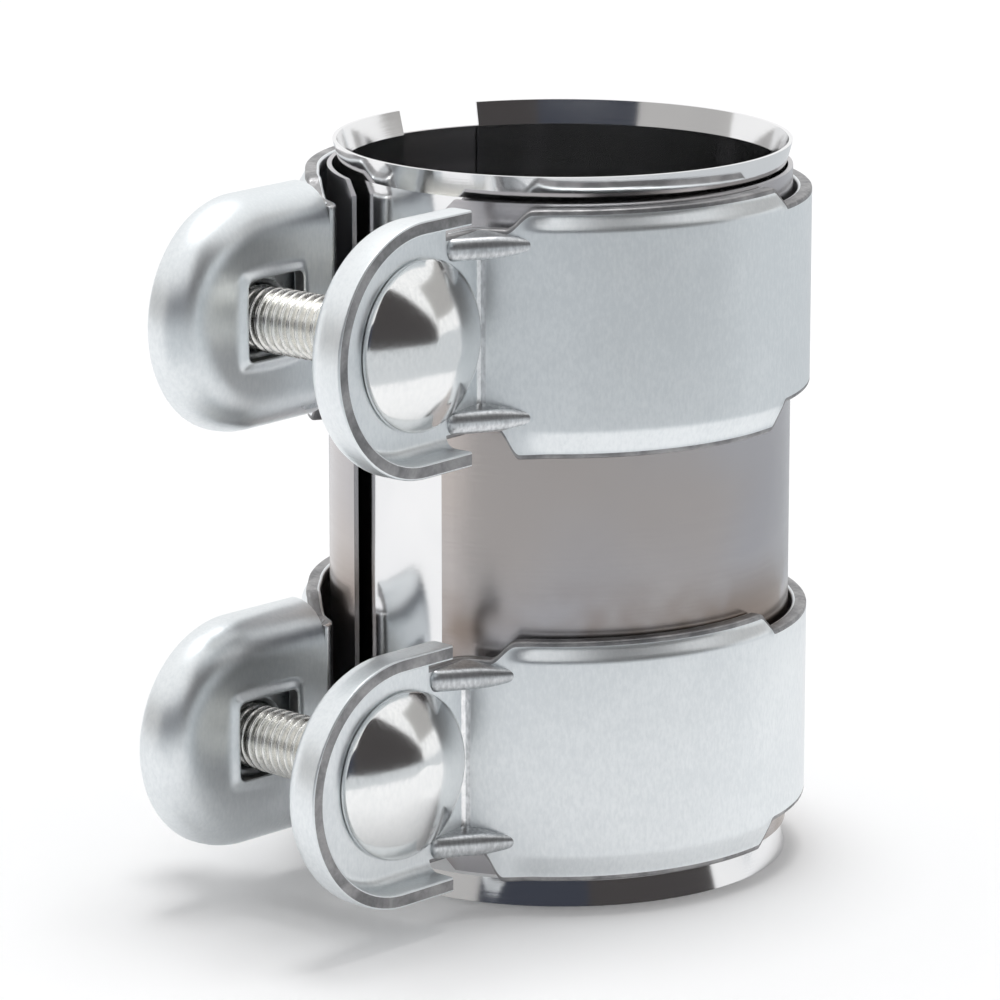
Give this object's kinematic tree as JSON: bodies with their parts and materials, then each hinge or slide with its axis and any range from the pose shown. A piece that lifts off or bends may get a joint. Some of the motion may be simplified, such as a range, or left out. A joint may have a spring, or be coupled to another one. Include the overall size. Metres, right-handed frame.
{
  "type": "exhaust pipe clamp sleeve",
  "caption": "Exhaust pipe connector: a thin split sleeve with flared ends inside a split outer sleeve, drawn tight by bolted clamp bands with pressed ears.",
  "frame": {"origin": "on the axis of the pipe bore, halfway up the sleeve", "axes": "+Z along the bore, upwards as the sleeve stands; the clamp ears point to -Y and the bolt heads to +X"},
  "size_m": [0.0632, 0.091, 0.09],
  "materials": {
    "polished_sheet": "thin stainless sheet, polished, with light scratches",
    "satin_sheet": "thin stainless sheet, satin, with a faint brown tint",
    "zinc_strip": "zinc plated pressed steel strip, matt to satin",
    "bright_bolt": "bright zinc plated bolt with a polished mushroom head",
    "zinc_nut": "zinc plated nut"
  },
  "bodies": {
    "sleeves": {"inner_sleeve": "polished_sheet", "outer_sleeve": "satin_sheet"},
    "upper_clamp": {"upper_band": "zinc_strip"},
    "lower_clamp": {"lower_band": "zinc_strip"},
    "upper_nut": {"upper_nut": "zinc_nut"},
    "lower_nut": {"lower_nut": "zinc_nut"},
    "upper_bolt": {"upper_bolt": "bright_bolt"},
    "lower_bolt": {"lower_bolt": "bright_bolt"}
  },
  "joints": [
    {"name": "upper_clamp_turn", "type": "hinge", "parent": "sleeves", "child": "upper_clamp", "pos_m": [0, -0.0005, 0.02725], "axis": [0, 0, 1], "continuous": true},
    {"name": "upper_nut_spin", "type": "hinge", "parent": "upper_clamp", "child": "upper_nut", "pos_m": [-0.01183, -0.04167, 0.02725], "axis": [-0.9999, -0.014, 0], "range_deg": [0, 4032]},
    {"name": "upper_bolt_draw", "type": "slide", "parent": "upper_clamp", "child": "upper_bolt", "axis": [0.9999, 0.014, 0], "range_m": [0, 0.014]},
    {"name": "lower_clamp_turn", "type": "hinge", "parent": "sleeves", "child": "lower_clamp", "pos_m": [0, -0.0005, -0.02525], "axis": [0, 0, 1], "continuous": true},
    {"name": "lower_nut_spin", "type": "hinge", "parent": "lower_clamp", "child": "lower_nut", "pos_m": [-0.01432, -0.04087, -0.02525], "axis": [-0.9989, 0.0471, 0], "range_deg": [0, 4032]},
    {"name": "lower_bolt_draw", "type": "slide", "parent": "lower_clamp", "child": "lower_bolt", "axis": [0.9989, -0.0471, 0], "range_m": [0, 0.014]}
  ],
  "couplings": [
    {"joint": "upper_nut_spin", "follows": "upper_bolt_draw", "rad_per_m": 5026.5},
    {"joint": "lower_nut_spin", "follows": "lower_bolt_draw", "rad_per_m": 5026.5}
  ]
}
